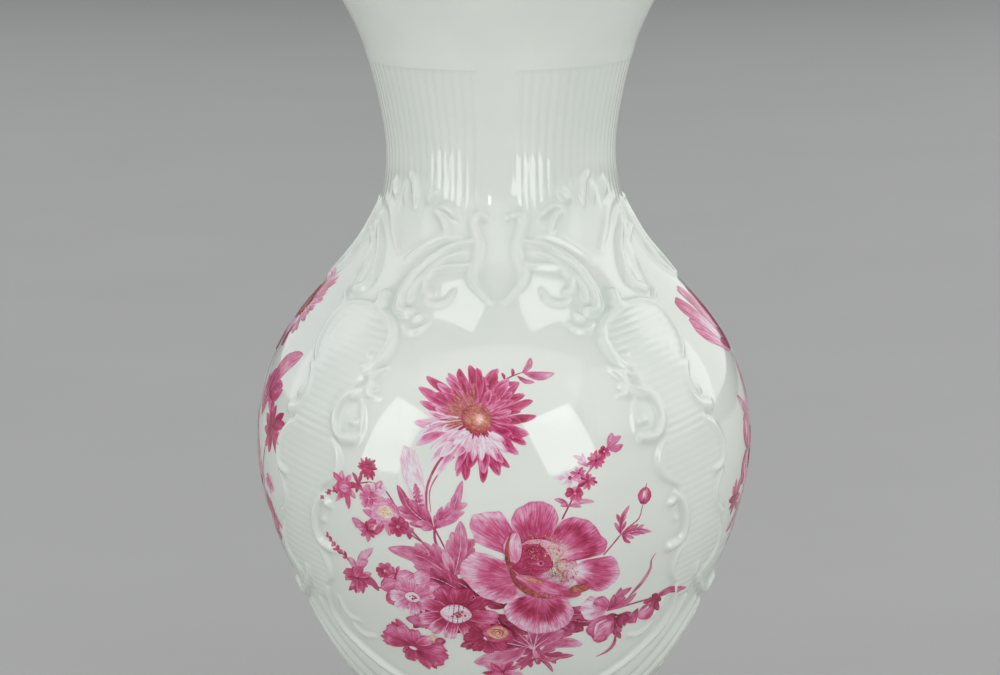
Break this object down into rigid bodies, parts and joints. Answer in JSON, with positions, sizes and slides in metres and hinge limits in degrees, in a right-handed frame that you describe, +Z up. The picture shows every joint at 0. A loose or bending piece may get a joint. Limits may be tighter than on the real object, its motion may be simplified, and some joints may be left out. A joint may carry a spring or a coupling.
{
  "type": "porcelain vase",
  "caption": "Baluster porcelain vase with a ribbed neck, flared lip, spreading foot and rococo relief bands framing painted reserves.",
  "frame": {"origin": "centre of the foot ring, on the surface that the vase stands on", "axes": "+Z up along the vase's axis; the front reserve faces -Y, and +X is to the right of a viewer in front"},
  "size_m": [0.0874, 0.0874, 0.15],
  "materials": {
    "white_porcelain": "gloss",
    "sprig_porcelain": "gloss",
    "crimson_enamel": "gloss",
    "amber_enamel": "gloss"
  },
  "bodies": {
    "root": {"base_scroll_back_left": "sprig_porcelain", "base_scroll_back_right": "sprig_porcelain", "base_scroll_front_left": "sprig_porcelain", "base_scroll_front_right": "sprig_porcelain", "base_shell_left": "sprig_porcelain", "base_shell_right": "sprig_porcelain", "bead_back_left": "sprig_porcelain", "bead_back_right": "sprig_porcelain", "bead_front_left": "sprig_porcelain", "bead_front_right": "sprig_porcelain", "foot": "white_porcelain", "lip": "white_porcelain", "lower_body": "white_porcelain", "neck": "white_porcelain", "rocaille_band_back_left": "sprig_porcelain", "rocaille_band_back_right": "sprig_porcelain", "rocaille_band_front_left": "sprig_porcelain", "rocaille_band_front_right": "sprig_porcelain", "shoulder_leaf_back_east": "sprig_porcelain", "shoulder_leaf_back_west": "sprig_porcelain", "shoulder_leaf_front_east": "sprig_porcelain", "shoulder_leaf_front_west": "sprig_porcelain", "shoulder_leaf_left_east": "sprig_porcelain", "shoulder_leaf_left_west": "sprig_porcelain", "shoulder_leaf_right_east": "sprig_porcelain", "shoulder_leaf_right_west": "sprig_porcelain", "shoulder_scroll_back_east": "sprig_porcelain", "shoulder_scroll_back_west": "sprig_porcelain", "shoulder_scroll_front_east": "sprig_porcelain", "shoulder_scroll_front_west": "sprig_porcelain", "shoulder_scroll_left_east": "sprig_porcelain", "shoulder_scroll_left_west": "sprig_porcelain", "shoulder_scroll_right_east": "sprig_porcelain", "shoulder_scroll_right_west": "sprig_porcelain", "shoulder_spur_back_east": "sprig_porcelain", "shoulder_spur_back_west": "sprig_porcelain", "shoulder_spur_front_east": "sprig_porcelain", "shoulder_spur_front_west": "sprig_porcelain", "shoulder_spur_left_east": "sprig_porcelain", "shoulder_spur_left_west": "sprig_porcelain", "shoulder_spur_right_east": "sprig_porcelain", "shoulder_spur_right_west": "sprig_porcelain", "upper_body": "white_porcelain"}
  },
  "joints": []
}
